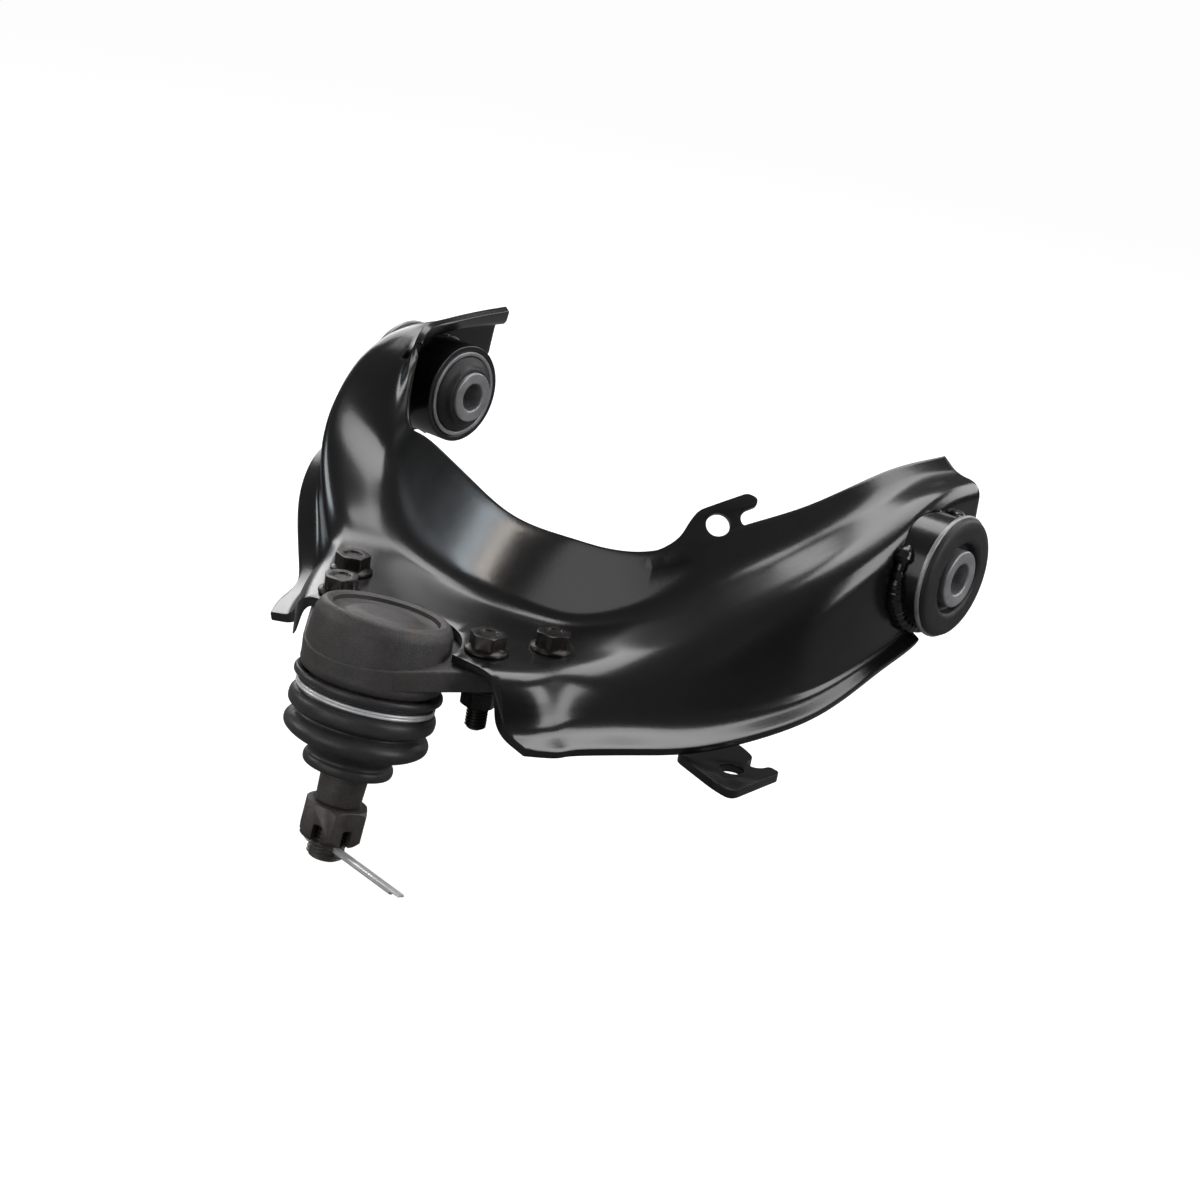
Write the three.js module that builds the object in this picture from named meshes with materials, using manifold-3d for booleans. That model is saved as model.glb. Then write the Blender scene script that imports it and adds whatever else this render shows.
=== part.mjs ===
// Suspension control arm: a pressed U-shaped arm on two rubber pivot bushes, with a bolted-on ball joint.
//
// Frame, in millimetres: X runs along the pivot axis from the front bush to the rear bush, Y points
// inboard, +Z is up. The origin is on the pivot axis, midway between the two sleeve faces that face +X.
import * as THREE from 'three';
import { LoftGeometry } from 'three/addons/geometries/LoftGeometry.js';
import { mergeVertices } from 'three/addons/utils/BufferGeometryUtils.js';
import Module from 'manifold-3d';

const wasm = await Module();
wasm.setup();

// ---- driving dimensions ----
const CLEARANCE = 0.3; // between any two pieces that touch
const SHEET = 3.2; // thickness of the pressed arm and of the hose bracket

const SLEEVE_SPAN = 248.5; // between the two sleeve faces that face +X
const SLEEVE_LENGTH = 46;
const SLEEVE_R = 11;
const SLEEVE_BORE_R = 6.1; // clears an M12 bolt
const TUBE_R = 21.7; // tube welded into each leg
const TUBE_WALL = 2.4;
const TUBE_LENGTH = 37.5;
const TUBE_SETBACK = 6.2; // sleeve end to tube face, on the side away from the flange
const OUTER_SLEEVE_WALL = 1.8;
const BUSH_FLANGE_R = 23.9;
const BUSH_SIDES = 28;

const BALL_X = -13; // ball joint axis where it leaves the rolled rim
const BALL_REACH = 160; // from the pivot axis, outboard
const BALL_RIM_Z = -32;
const BALL_TILT = 10; // degrees, the stud leans outboard at its lower end
const PLATE_Z = -40; // top of the flat plate under the bolts

const BALL_R = 13.5;
const BALL_GAP = 0.35; // ball to liner
const LINER_WALL = 3.15; // where it is thinnest
const HOUSING_WALL = 8.9;
const COVER_DEPTH = 4.5; // rim to the top of the ball
const STUD_NECK_R = 7.4;
const TAPER_TOP_R = 9.2;
const TAPER_END_R = 8.4;
const THREAD_R = 6.9; // M14
const NUT_AF = 22;
const NUT_BELOW_BOOT = 13.4;
const NUT_HEIGHT = 13.6;
const NUT_SLOT_WIDTH = 4;
const NUT_SLOT_DEPTH = 6.6;
const NUT_YAW = 15; // degrees
const THREAD_PAST_NUT = 7.7;
const PIN_R = 1.5;
const PIN_PAST_NUT = 2.7;
const PIN_YAW = -11; // degrees
const BOOT_LENGTH = 25.5; // below the housing's neck

const FLANGE_THICK = 8.3;
const FLANGE_YAW = 6; // degrees, the bolt pattern turns with the ball joint flange
const BOLTS = [[-34, 17], [-47, 39.5], [47, 39.5], [34, 17]]; // from the ball joint axis
const BOLT_R = 4;
const BOLT_AF = 12;
const BOLT_FLANGE_R = 8.2;
const BOLT_HEAD = 7;
const BOLT_REACH = 29.8; // under the head
const NUT8_HEIGHT = 8;

const PATH_STEPS = 42;
const ARC_STEPS = 3;

// ---- materials ----
const paint = { color: 0x0b0b0d, roughness: 0.22, metalness: 0.3 };
const phosphate = { color: 0x3a3838, roughness: 0.62, metalness: 0.55 };
const steel = { color: 0x8a8b8c, roughness: 0.45, metalness: 0.9 };
const zinc = { color: 0xc9cccf, roughness: 0.3, metalness: 0.9 };
const rubber = { color: 0x1b1b1c, roughness: 0.75, metalness: 0 };
const darkBolt = { color: 0x2b2724, roughness: 0.4, metalness: 0.8 };
const nylon = { color: 0xd8d4c6, roughness: 0.5, metalness: 0 };

const arm = new THREE.Group();
arm.name = 'control_arm';

function addMesh(parent, name, geometry, finish) {
  const mesh = new THREE.Mesh(geometry, new THREE.MeshStandardMaterial(finish));
  mesh.name = name;
  parent.add(mesh);
  return mesh;
}

// ---- solids ----
function solidOf(geometry) {
  const bare = new THREE.BufferGeometry().copy(geometry);
  bare.deleteAttribute('normal');
  bare.deleteAttribute('uv');
  const merged = mergeVertices(bare, 1e-4);
  const mesh = new wasm.Mesh({
    numProp: 3,
    vertProperties: new Float32Array(merged.attributes.position.array),
    triVerts: new Uint32Array(merged.index.array),
  });
  return new wasm.Manifold(mesh);
}

function geometryOf(solid) {
  const mesh = solid.getMesh();
  const geometry = new THREE.BufferGeometry();
  geometry.setAttribute('position', new THREE.BufferAttribute(mesh.vertProperties.slice(), 3));
  geometry.setIndex(new THREE.BufferAttribute(mesh.triVerts.slice(), 1));
  return geometry;
}

// Revolve a closed [radius, height] profile about Z.
function turned(profile, sides = 24) {
  const points = profile.map(([r, z]) => new THREE.Vector2(r, z));
  return new THREE.LatheGeometry(points, sides).rotateX(Math.PI / 2);
}

// A turned ring from its inner and outer radius and its two ends.
function ring(inner, outer, low, high, sides = 24) {
  return turned([[inner, low], [outer, low], [outer, high], [inner, high], [inner, low]], sides);
}

function plate(shape, low, high, curveSegments = 10) {
  const settings = { depth: high - low, bevelEnabled: false, curveSegments };
  const geometry = new THREE.ExtrudeGeometry(shape, settings);
  return geometry.translate(0, 0, low);
}

function hexShape(acrossFlats) {
  const corner = acrossFlats / Math.sqrt(3);
  const shape = new THREE.Shape();
  for (let i = 0; i < 6; i += 1) {
    const angle = i * Math.PI / 3;
    shape[i ? 'lineTo' : 'moveTo'](corner * Math.cos(angle), corner * Math.sin(angle));
  }
  return shape.closePath();
}

function circleHole(radius, sides = 20) {
  return new THREE.CylinderGeometry(radius, radius, 1, sides).rotateX(Math.PI / 2);
}

// ---- frames ----
const frontSleeveEnd = -SLEEVE_SPAN / 2; // inner end of the front bush
const rearSleeveEnd = SLEEVE_SPAN / 2; // outer end of the rear bush
const frontBushX = frontSleeveEnd - SLEEVE_LENGTH / 2;
const rearBushX = rearSleeveEnd - SLEEVE_LENGTH / 2;

const ballFrame = new THREE.Group(); // origin on the rolled rim, +Z up the stud axis
ballFrame.position.set(BALL_X, -BALL_REACH, BALL_RIM_Z);
ballFrame.rotation.x = -THREE.MathUtils.degToRad(BALL_TILT);
arm.add(ballFrame);
ballFrame.updateMatrixWorld(true);

// Where the stud axis crosses a level of the arm.
function axisY(z) {
  return -BALL_REACH + (z - BALL_RIM_Z) * Math.tan(THREE.MathUtils.degToRad(BALL_TILT));
}

// Ball joint sizes that follow from the ball, as radii and as depths below the rim.
const cavityR = BALL_R + BALL_GAP + LINER_WALL + CLEARANCE;
const housingR = cavityR + HOUSING_WALL;
const rimR = housingR - 4;
const neckR = housingR - 4.2;
const ballDepth = BALL_R + COVER_DEPTH;
const linerLow = -ballDepth - BALL_R + 3.5;
const socketLow = linerLow - 7;
const bootLow = socketLow - BOOT_LENGTH;
const nutTop = -bootLow + NUT_BELOW_BOOT;
const pinDepth = nutTop + NUT_HEIGHT + PIN_PAST_NUT;
const studEnd = nutTop + NUT_HEIGHT + THREAD_PAST_NUT;

// ---- pressed arm ----
// Stations round the U, from the end of the front leg to the end of the rear leg. Each is hung between
// the ball joint (share 0) and the leg's own bush (share 1), and holds [x, y, z] of the section's five
// corners: top of the inner flange, inner bend, outer bend, foot of the outer wall, edge of the lip.
const FRONT_STATIONS = [
  [1, [13, 26, 36], [7, 32, 28], [-4, 38, 27], [-6, 38, 10], [-10, 38, 8]],
  [1, [13, 8, 35], [8, 10, 28], [-4, 10, 27], [-6, 10, -12], [-12, 10, -14]],
  [1, [14, -14, 33], [9, -14, 26], [-6, -14, 27], [-7, -14, -22], [-14, -14, -24]],
  [1, [19, -36, 30], [16, -36, 18], [-6, -38, 22], [-4, -40, -22], [-9, -44, -24]],
  [0.8, [2, -15, 4], [-1, -23, -5], [-29, -26, 14], [-22, -30, -14], [-29, -34, -16]],
  [0.6, [-6.5, 9, 12], [-10.5, -4, -8], [-42.5, -13, 5], [-35, -18, -17], [-42, -24, -20]],
  [0.4, [-13.5, 32, 19], [-17.5, 16, -10], [-46.5, 4, -8], [-43.5, 0, -27], [-51, -6, -30]],
  [0.2, [-18, 55, 25], [-20, 38, -7], [-54, 21, -7.5], [-54, 16, -25], [-61, 11, -28]],
  [0, [-21, 79, 30], [-23, 63, 0], [-57, 17, 0], [-61, 16, -18], [-73, 14, -21]],
  [0, [-1, 76, 29], [-3, 61, 0], [-1, -35, 0], [-1, -39, -18], [-1, -48, -21]],
];
const REAR_STATIONS = [
  [0, [19, 77, 30], [17, 64, 0.4], [53, 8, 0], [57, 8, -18], [69, 7, -21]],
  [0, [33, 81, 30], [33, 69, 2], [58, 32, -0.3], [65, 27, -17.5], [75, 19, -21]],
  [0.2, [23, 56, 24], [26, 46, 1.5], [46, 22, -7.2], [56, 12, -24], [65, 2, -27]],
  [0.35, [17, 44, 24], [23, 34, 6], [45, 16, -4], [55, 6, -27], [64, -2, -31]],
  [0.55, [6, 28, 24], [12, 17, 9], [37, 1, 3], [45, -5, -30], [54, -10, -33]],
  [0.8, [-11, 5, 22], [-4, -3, 10], [21, -20, 8], [25, -23, -33], [33, -25, -36]],
  [1, [-25, -11, 23], [-17, -14, 17], [5, -22, 14], [6, -24, -30], [12, -25, -33]],
  [1, [-19, 8, 30], [-10, 8, 25], [5, 4, 27], [6, 4, -22], [12, 4, -25]],
  [1, [-12, 31, 34], [-5, 32, 28], [5, 32, 27], [6, 32, 4], [11, 32, 2]],
];
const BEND_RADII = [9, 6.5, 6.5]; // reach of each rounded corner along its two sides

function hung([share, ...corners], bushX) {
  return corners.map(([x, y, z]) => new THREE.Vector3(
    THREE.MathUtils.lerp(BALL_X, bushX, share) + x,
    THREE.MathUtils.lerp(-BALL_REACH, 0, share) + y,
    THREE.MathUtils.lerp(PLATE_Z - SHEET / 2, 0, share) + z,
  ));
}

const stations = [
  ...FRONT_STATIONS.map((station) => hung(station, frontBushX)),
  ...REAR_STATIONS.map((station) => hung(station, rearBushX)),
];
const guides = [0, 1, 2, 3, 4].map((corner) => {
  const guide = new THREE.CatmullRomCurve3(stations.map((station) => station[corner]), false, 'catmullrom', 0.5);
  return (t) => guide.getPoint(t);
});

// Middle of the sheet across one section, with its bends rounded.
function sectionLine(t) {
  const corners = guides.map((guide) => guide(t));
  const line = [corners[0]];
  for (let bend = 1; bend <= 3; bend += 1) {
    const [before, at, after] = [corners[bend - 1], corners[bend], corners[bend + 1]];
    const most = 0.45 * Math.min(at.distanceTo(before), at.distanceTo(after));
    const reach = Math.min(BEND_RADII[bend - 1], most);
    const from = before.clone().sub(at).setLength(reach).add(at);
    const to = after.clone().sub(at).setLength(reach).add(at);
    line.push(...new THREE.QuadraticBezierCurve3(from, at, to).getPoints(ARC_STEPS));
  }
  line.push(corners[4]);
  return line;
}

// Closed ring round the sheet's cut end: along its upper face, back along its lower face.
function pressingRings() {
  const lines = [];
  for (let step = 0; step <= PATH_STEPS; step += 1) {
    lines.push(sectionLine(step / PATH_STEPS));
  }
  return lines.map((line, row) => {
    const ahead = lines[Math.min(row + 1, PATH_STEPS)];
    const behind = lines[Math.max(row - 1, 0)];
    const upper = [];
    const lower = [];
    line.forEach((point, column) => {
      const across = line[Math.min(column + 1, line.length - 1)].clone().sub(line[Math.max(column - 1, 0)]);
      const along = ahead[column].clone().sub(behind[column]);
      const out = along.cross(across).negate().setLength(SHEET / 2);
      upper.push(point.clone().add(out));
      lower.push(point.clone().sub(out));
    });
    return [...upper, ...lower.reverse()];
  });
}

function boltPlaces() {
  const yaw = THREE.MathUtils.degToRad(FLANGE_YAW);
  return BOLTS.map(([x, y]) => new THREE.Vector2(
    BALL_X + x * Math.cos(yaw) - y * Math.sin(yaw),
    axisY(PLATE_Z) + x * Math.sin(yaw) + y * Math.cos(yaw),
  ));
}
const bolts = boltPlaces();

const NOTCH_R = housingR + 2.6; // opening in the plate round the ball joint
const FRONT_EDGE = 7; // front edge of the plate beside the ball joint, inboard of its axis
const FRONT_EDGE_FAR = 15.5; // the same on the front leg's side, past the bolts
const TUBE_ARCH = 8; // the outer wall stops this high inboard of the tube
const TUBE_ARCH_Y = -3;

// Everything outboard of the arm's front edge.
function frontCutter() {
  const y = axisY(PLATE_Z);
  const shape = new THREE.Shape();
  shape.moveTo(BALL_X + 150, y + FRONT_EDGE);
  shape.lineTo(BALL_X + Math.sqrt(NOTCH_R ** 2 - FRONT_EDGE ** 2), y + FRONT_EDGE);
  shape.absarc(BALL_X, y, NOTCH_R, Math.asin(FRONT_EDGE / NOTCH_R), Math.PI - Math.asin(2 / NOTCH_R), false);
  shape.lineTo(BALL_X - 47, y + 2);
  shape.lineTo(BALL_X - 57, y + FRONT_EDGE_FAR);
  shape.lineTo(BALL_X - 150, y + FRONT_EDGE_FAR);
  shape.lineTo(BALL_X - 150, y - 120);
  shape.lineTo(BALL_X + 150, y - 120);
  return plate(shape.closePath(), PLATE_Z - 80, PLATE_Z + 90, 16);
}

function alongX(geometry, x) {
  return geometry.rotateY(Math.PI / 2).translate(x, 0, 0);
}

// Tab on the rear leg's inner flange that carries a brake hose clip: a hole and an open hook.
const TAB_HOLE_R = 4.6;
const TAB_HOOK_R = 3.3;

function hoseTab() {
  const shape = new THREE.Shape();
  shape.moveTo(-17, -9);
  shape.lineTo(-16, 0.6);
  shape.quadraticCurveTo(-5, 1.5, -1.5, 5.6);
  shape.quadraticCurveTo(3, 10.4, 9, 10.6);
  shape.absarc(24.6, 8.5, 2.9, Math.PI / 2, -Math.PI / 2.4, true);
  shape.absarc(22.3, 2.2, TAB_HOOK_R, Math.PI / 2.6, -Math.PI / 3.2, false);
  shape.lineTo(25.4, -1.1);
  shape.quadraticCurveTo(28.5, -5.2, 33, -5.6);
  shape.lineTo(33, -11);
  shape.closePath();
  const hole = new THREE.Path();
  hole.absarc(10.2, 3, TAB_HOLE_R, 0, 2 * Math.PI, false);
  shape.holes.push(hole);
  const tab = plate(shape, -SHEET / 2, SHEET / 2, 8);
  const root = guides[0](13 / (stations.length - 1));
  const next = guides[0](14 / (stations.length - 1));
  const bend = guides[1](13 / (stations.length - 1));
  const along = next.clone().sub(root).normalize();
  const up = root.clone().sub(bend);
  up.addScaledVector(along, -up.dot(along)).normalize();
  const turn = new THREE.Matrix4().makeBasis(along, up, along.clone().cross(up)).setPosition(root);
  return tab.applyMatrix4(turn);
}

function pressedArm() {
  let solid = solidOf(new LoftGeometry(pressingRings(), { closed: true, capStart: true, capEnd: true }));
  solid = solid.add(solidOf(hoseTab()));
  solid = solid.subtract(solidOf(frontCutter()));
  for (const place of bolts) {
    const hole = circleHole(BOLT_R + CLEARANCE, 20).scale(1, 1, 40).translate(place.x, place.y, PLATE_Z);
    const seat = circleHole(BOLT_FLANGE_R + 0.6, 28).scale(1, 1, 20).translate(place.x, place.y, PLATE_Z + 10);
    solid = solid.subtract(solidOf(hole)).subtract(solidOf(seat));
  }
  for (const bushX of [frontBushX, rearBushX]) {
    const tube = alongX(circleHole(TUBE_R + CLEARANCE, 28).scale(1, 1, 70), bushX);
    const arch = new THREE.BoxGeometry(60, 70, 80).translate(bushX, TUBE_ARCH_Y + 35, TUBE_ARCH - 40);
    solid = solid.subtract(solidOf(tube)).subtract(solidOf(arch));
  }
  const slot = alongX(circleHole(1.6, 14).scale(1, 4, 12), frontBushX + 18).translate(0, -36, 20);
  solid = solid.subtract(solidOf(slot));
  return geometryOf(solid);
}
addMesh(arm, 'arm_pressing', pressedArm(), paint);

// ---- hose bracket under the rear leg's lip ----
const BRACKET_SHARE = 0.28; // hung like the lip above it
const BRACKET_TOP = -28.3 - SHEET; // below the line it is hung from
const BRACKET_HOLE_R = 4.5;

function hoseBracket() {
  const shape = new THREE.Shape();
  shape.moveTo(63, 14.2);
  shape.lineTo(66, 6.2);
  shape.lineTo(87, -0.8);
  shape.quadraticCurveTo(96.6, -2.8, 96.6, 5.2);
  shape.lineTo(96.6, 23.7);
  shape.absarc(93.8, 24.6, 2.8, 0, Math.PI, false);
  shape.absarc(87.6, 24.6, 3.4, 0, -Math.PI, true);
  shape.lineTo(81.6, 30);
  shape.lineTo(72, 34.2);
  shape.closePath();
  const hole = new THREE.Path();
  hole.absarc(84.7, 13.4, BRACKET_HOLE_R, 0, 2 * Math.PI, false);
  shape.holes.push(hole);
  const [from] = hung([BRACKET_SHARE, [0, 1.5, 0]], rearBushX);
  return plate(shape, BRACKET_TOP - SHEET, BRACKET_TOP, 8).translate(from.x, from.y, from.z);
}
addMesh(arm, 'hose_bracket', hoseBracket(), paint);

// ---- pivot bushes ----
const outerSleeveR = TUBE_R - TUBE_WALL - CLEARANCE;
const rubberR = outerSleeveR - OUTER_SLEEVE_WALL - CLEARANCE;
const rubberBoreR = SLEEVE_R + CLEARANCE;
const FLANGE_PLATE = 1.8; // thickness of the outer sleeve's flange
const FACE_RECESS = 3.25; // flange face behind the sleeve end

// One bush along +Z: flanged end at the top, sleeve end at z = 0.
function bushPieces() {
  const flangeTop = -FACE_RECESS;
  const tubeTop = flangeTop - FLANGE_PLATE - CLEARANCE;
  const tubeLow = -SLEEVE_LENGTH + TUBE_SETBACK;
  const sleeveLow = tubeLow - 0.4;
  const inner = outerSleeveR - OUTER_SLEEVE_WALL;
  return {
    tube: ring(TUBE_R - TUBE_WALL, TUBE_R, tubeLow, Math.min(tubeTop, tubeLow + TUBE_LENGTH), BUSH_SIDES),
    outer_sleeve: turned([
      [inner, sleeveLow], [outerSleeveR, sleeveLow], [outerSleeveR, flangeTop - FLANGE_PLATE],
      [BUSH_FLANGE_R, flangeTop - FLANGE_PLATE], [BUSH_FLANGE_R, flangeTop], [inner, flangeTop],
      [inner, sleeveLow],
    ], BUSH_SIDES),
    rubber: turned([
      [rubberBoreR, -SLEEVE_LENGTH + 1.8], [rubberBoreR + 2.2, -SLEEVE_LENGTH + 2.2], [rubberR, sleeveLow - 0.6],
      [rubberR, flangeTop + CLEARANCE], [BUSH_FLANGE_R - 0.8, flangeTop + CLEARANCE],
      [BUSH_FLANGE_R - 1.6, -0.9], [SLEEVE_R + 3.4, -0.6], [SLEEVE_R + 2.4, -4.4],
      [rubberBoreR, -4.4], [rubberBoreR, -SLEEVE_LENGTH + 1.8],
    ], BUSH_SIDES),
    inner_sleeve: turned([
      [SLEEVE_BORE_R, -SLEEVE_LENGTH], [SLEEVE_R, -SLEEVE_LENGTH], [SLEEVE_R, 0], [SLEEVE_BORE_R, 0],
      [SLEEVE_BORE_R, -SLEEVE_LENGTH],
    ], BUSH_SIDES),
  };
}

const bushFinish = { tube: paint, outer_sleeve: steel, rubber, inner_sleeve: steel };
const bushEnds = [
  ['rear', rearSleeveEnd, Math.PI / 2],
  ['front', frontSleeveEnd - SLEEVE_LENGTH, -Math.PI / 2],
];
for (const [end, x, turn] of bushEnds) {
  const bush = new THREE.Group();
  bush.position.x = x;
  bush.rotation.y = turn;
  arm.add(bush);
  for (const [piece, geometry] of Object.entries(bushPieces())) {
    addMesh(bush, `${end}_${piece}`, geometry, bushFinish[piece]);
  }
}

// ---- ball joint housing ----
const flangeTop = PLATE_Z - SHEET - 2 * CLEARANCE; // clears the start of the plate's bends
const flangeLow = flangeTop - FLANGE_THICK;
const FLANGE_CORNER_R = 9.5;

// Outline drawn tight round circles [x, y, radius] taken counter-clockwise.
function outlineRound(circles) {
  const turns = circles.map(([x, y, r], i) => {
    const [nextX, nextY, nextR] = circles[(i + 1) % circles.length];
    const away = Math.hypot(nextX - x, nextY - y);
    return Math.atan2(nextY - y, nextX - x) - Math.acos((r - nextR) / away);
  });
  const shape = new THREE.Shape();
  circles.forEach(([x, y, r], i) => {
    shape.absarc(x, y, r, turns[(i + circles.length - 1) % circles.length], turns[i], false);
  });
  return shape.closePath();
}

// Flange that the four bolts clamp under the plate: a rounded corner at each bolt.
function flangePlate() {
  const corners = [3, 2, 1, 0].map((index) => [bolts[index].x, bolts[index].y, FLANGE_CORNER_R]);
  const outline = outlineRound([[BALL_X, axisY(flangeTop), housingR + 1], ...corners]);
  return solidOf(plate(outline, flangeLow, flangeTop, 6));
}

const RIM_PROFILE = [ // outside of the rolled rim, then the seat of the cover inside it
  [rimR - 3.4, -1.2], [rimR - 1.4, -0.2], [rimR, 0], [rimR + 1.6, -1], [housingR - 1.2, -3.6],
];
const COVER_LOW = -5.4;

function ballJointHousing() {
  const outside = [
    ...RIM_PROFILE, [housingR, -12], [housingR, socketLow + 11.5], [housingR - 1, socketLow + 9.6],
    [neckR, socketLow + 9.2], [neckR, socketLow],
  ];
  const profile = [[0, socketLow], ...outside.reverse(), [0, -1.2]];
  const cavity = turned([
    [0, socketLow - 1], [cavityR + 0.3, socketLow - 1], [cavityR - 4.1, linerLow - 0.8],
    [cavityR, linerLow - 0.4],
    [cavityR, COVER_LOW - 0.6], [rimR - 2.4, COVER_LOW - 0.6], [rimR - 2.4, 2], [0, 2],
  ]).applyMatrix4(ballFrame.matrixWorld);
  let solid = solidOf(turned(profile).applyMatrix4(ballFrame.matrixWorld)).add(flangePlate());
  solid = solid.subtract(solidOf(cavity));
  for (const place of bolts) {
    const hole = circleHole(BOLT_R + CLEARANCE, 20).scale(1, 1, 40).translate(place.x, place.y, flangeLow);
    solid = solid.subtract(solidOf(hole));
  }
  return geometryOf(solid);
}
addMesh(arm, 'ball_joint_housing', ballJointHousing(), phosphate);

// Dished cover that the rim is rolled over, with a raised dome in its middle.
const coverR = rimR - 2.4 - CLEARANCE;
addMesh(ballFrame, 'housing_cover', turned([
  [0, -4], [BALL_R - 4.5, -4], [BALL_R - 3, COVER_LOW], [coverR, COVER_LOW], [coverR, -1.9],
  [coverR - 2.2, -2.6], [coverR - 5.5, -2.8], [coverR - 8.1, -1.7], [6, -0.9], [0, -0.7],
]), phosphate);

// Low-friction liner that the ball turns in.
function ballSeat() {
  const outerR = cavityR - CLEARANCE;
  const blank = ring(8, outerR, linerLow, COVER_LOW - CLEARANCE - 0.3);
  const ball = new THREE.SphereGeometry(BALL_R + BALL_GAP, 24, 14).translate(0, 0, -ballDepth);
  const mouth = new THREE.CylinderGeometry(BALL_R - 3, BALL_R - 0.1, 8, 24).rotateX(Math.PI / 2)
    .translate(0, 0, linerLow + 2);
  return geometryOf(solidOf(blank).subtract(solidOf(ball)).subtract(solidOf(mouth)));
}
addMesh(ballFrame, 'ball_seat', ballSeat(), nylon);

// ---- ball stud ----
addMesh(ballFrame, 'stud_ball', new THREE.SphereGeometry(BALL_R, 28, 16).translate(0, 0, -ballDepth), steel);

const TAPER_TOP = -bootLow - 4.5;
const taperEnd = nutTop - 0.8;
function studShank() {
  const shank = turned([
    [0, -studEnd], [THREAD_R - 0.8, -studEnd], [THREAD_R, -studEnd + 0.9], [THREAD_R, -nutTop + 0.2],
    [TAPER_END_R, -taperEnd], [TAPER_TOP_R, -TAPER_TOP], [STUD_NECK_R, -TAPER_TOP + 3],
    [STUD_NECK_R, -ballDepth - BALL_R + 4], [0, -ballDepth - BALL_R + 4],
  ]);
  const cup = new THREE.SphereGeometry(BALL_R + CLEARANCE, 28, 16).translate(0, 0, -ballDepth);
  const pinHole = circleHole(PIN_R + CLEARANCE, 16).scale(1, 1, 40).rotateY(Math.PI / 2)
    .rotateZ(THREE.MathUtils.degToRad(PIN_YAW)).translate(0, 0, -pinDepth);
  return geometryOf(solidOf(shank).subtract(solidOf(pinHole)).subtract(solidOf(cup)));
}
addMesh(ballFrame, 'stud_shank', studShank(), phosphate);

function castleNut() {
  let solid = solidOf(plate(hexShape(NUT_AF), -nutTop - NUT_HEIGHT, -nutTop));
  const corner = NUT_AF / Math.sqrt(3);
  const chamfer = turned([
    [0, -nutTop - NUT_HEIGHT - 1], [corner - 3, -nutTop - NUT_HEIGHT - 1],
    [corner + 1, -nutTop - NUT_HEIGHT + 2.4], [corner + 1, -nutTop - 1.6], [corner - 1.2, -nutTop + 0.4],
    [0, -nutTop + 0.4],
  ], 36);
  solid = solid.intersect(solidOf(chamfer));
  const bore = circleHole(THREAD_R + CLEARANCE).scale(1, 1, 60).translate(0, 0, -nutTop);
  solid = solid.subtract(solidOf(bore));
  for (let i = 0; i < 3; i += 1) {
    const slot = new THREE.BoxGeometry(NUT_SLOT_WIDTH, 40, 2 * NUT_SLOT_DEPTH)
      .rotateZ(i * Math.PI / 3).translate(0, 0, -nutTop - NUT_HEIGHT);
    solid = solid.subtract(solidOf(slot));
  }
  return geometryOf(solid);
}
const castle = addMesh(ballFrame, 'castle_nut', castleNut(), phosphate);
castle.rotation.z = THREE.MathUtils.degToRad(NUT_YAW);

// Cotter pin: two straight legs side by side, with its eye on the far side of the stud.
const PIN_REACH = 47.5; // past the stud's axis
const PIN_EYE_R = 3.2;
function cotterPin() {
  const legs = circleHole(PIN_R, 14).scale(1, 1, PIN_REACH + THREAD_R + 1).rotateY(Math.PI / 2)
    .translate((PIN_REACH - THREAD_R - 1) / 2, 0, 0);
  const eye = new THREE.TorusGeometry(PIN_EYE_R, PIN_R * 0.8, 8, 14).translate(-THREAD_R - PIN_EYE_R - 0.6, 0, 0);
  return geometryOf(solidOf(legs).add(solidOf(eye)));
}
const pin = addMesh(ballFrame, 'cotter_pin', cotterPin(), zinc);
pin.rotation.z = THREE.MathUtils.degToRad(PIN_YAW);
pin.position.z = -pinDepth;

// ---- dust boot ----
const seatRingR = TAPER_TOP_R + CLEARANCE; // ring moulded in the boot's small end
const bootEndR = seatRingR + 1.6 + CLEARANCE;
// Outside and inside of the boot: the neck end from the housing, the small end from the seat ring.
const bootOuter = [
  [5.2, 8.4], [5.3, 6.8], [3, 5.4], [2.6, 1.8], [4.6, 0.4], [5.3, -2.2], [4.2, -4.6], [1.2, -6.6], [3.8, -9.2],
  [4.5, -11.6], [3.2, -13.8],
].map(([r, z]) => [neckR + r, socketLow + z]);
bootOuter.push(...[[7.4, 7.5], [3.9, 5.1], [5.2, 3.5], [5.4, 1.1], [4.5, 0]]
  .map(([r, z]) => [bootEndR - CLEARANCE + r, bootLow + z]));
const bootInner = [[bootEndR, bootLow], [bootEndR, bootLow + 5.1], [13, bootLow + 7.3], [17.6, bootLow + 10.1]];
bootInner.push(...[
  [0.8, -12.4], [1.4, -10.8], [-1.4, -6.8], [1.6, -3.4], [2, -1.6], [CLEARANCE, 0.2], [CLEARANCE, 8.4],
].map(([r, z]) => [neckR + r, socketLow + z]));
addMesh(ballFrame, 'dust_boot', turned([...bootOuter, ...bootInner, bootOuter[0]].reverse(), 26), rubber);
addMesh(ballFrame, 'boot_clip', ring(neckR + 3.3, neckR + 4.4, socketLow + 2.4, socketLow + 4.8, 26), zinc);
addMesh(ballFrame, 'boot_seat_ring', ring(seatRingR, seatRingR + 1.6, bootLow + 0.5, bootLow + 4.3), steel);

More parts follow.
